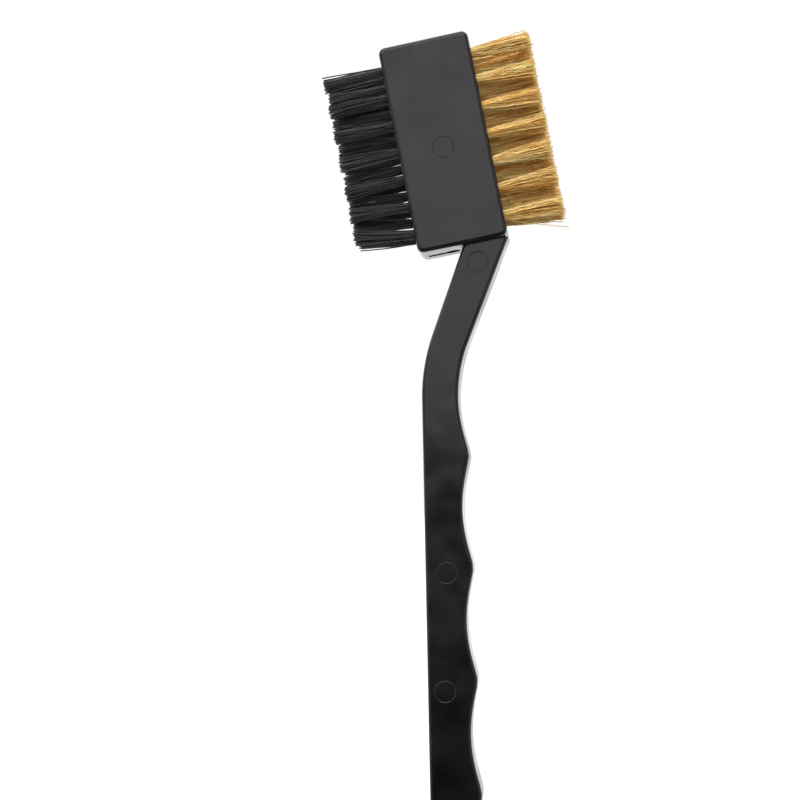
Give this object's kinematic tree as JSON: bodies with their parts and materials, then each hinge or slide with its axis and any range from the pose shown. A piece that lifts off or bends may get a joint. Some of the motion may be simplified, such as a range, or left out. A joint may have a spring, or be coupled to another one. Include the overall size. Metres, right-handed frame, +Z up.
{
  "type": "golf club groove brush",
  "caption": "Hand brush with a bent, finger-grooved handle and a block head that carries nylon tufts on one side and brass wire tufts on the other, for scrubbing the grooves of a club face.",
  "frame": {"origin": "centre of the hang hole near the end of the handle, half way through the handle's thickness", "axes": "+Z up the straight grip towards the head, +X towards the brass side, -Y towards the front face, +Y along the hang hole"},
  "size_m": [0.052, 0.014, 0.1779],
  "materials": {
    "moulded_plastic": "satin",
    "nylon_bristle": "semi-gloss filament",
    "brass_wire": "bright drawn wire",
    "anchor_steel": "satin"
  },
  "bodies": {
    "root": {"body": "moulded_plastic", "nylon_tuft_anchors": "anchor_steel", "brass_tuft_anchors": "anchor_steel", "nylon_tuft_front_1": "nylon_bristle", "nylon_tuft_front_2": "nylon_bristle", "nylon_tuft_front_3": "nylon_bristle", "nylon_tuft_front_4": "nylon_bristle", "nylon_tuft_front_5": "nylon_bristle", "nylon_tuft_front_6": "nylon_bristle", "nylon_tuft_front_7": "nylon_bristle", "nylon_tuft_middle_1": "nylon_bristle", "nylon_tuft_middle_2": "nylon_bristle", "nylon_tuft_middle_3": "nylon_bristle", "nylon_tuft_middle_4": "nylon_bristle", "nylon_tuft_middle_5": "nylon_bristle", "nylon_tuft_middle_6": "nylon_bristle", "nylon_tuft_back_1": "nylon_bristle", "nylon_tuft_back_2": "nylon_bristle", "nylon_tuft_back_3": "nylon_bristle", "nylon_tuft_back_4": "nylon_bristle", "nylon_tuft_back_5": "nylon_bristle", "nylon_tuft_back_6": "nylon_bristle", "nylon_tuft_back_7": "nylon_bristle", "brass_tuft_front_1": "brass_wire", "brass_tuft_front_2": "brass_wire", "brass_tuft_front_3": "brass_wire", "brass_tuft_front_4": "brass_wire", "brass_tuft_front_5": "brass_wire", "brass_tuft_front_6": "brass_wire", "brass_tuft_front_7": "brass_wire", "brass_tuft_middle_1": "brass_wire", "brass_tuft_middle_2": "brass_wire", "brass_tuft_middle_3": "brass_wire", "brass_tuft_middle_4": "brass_wire", "brass_tuft_middle_5": "brass_wire", "brass_tuft_middle_6": "brass_wire", "brass_tuft_back_1": "brass_wire", "brass_tuft_back_2": "brass_wire", "brass_tuft_back_3": "brass_wire", "brass_tuft_back_4": "brass_wire", "brass_tuft_back_5": "brass_wire", "brass_tuft_back_6": "brass_wire", "brass_tuft_back_7": "brass_wire"}
  },
  "joints": []
}
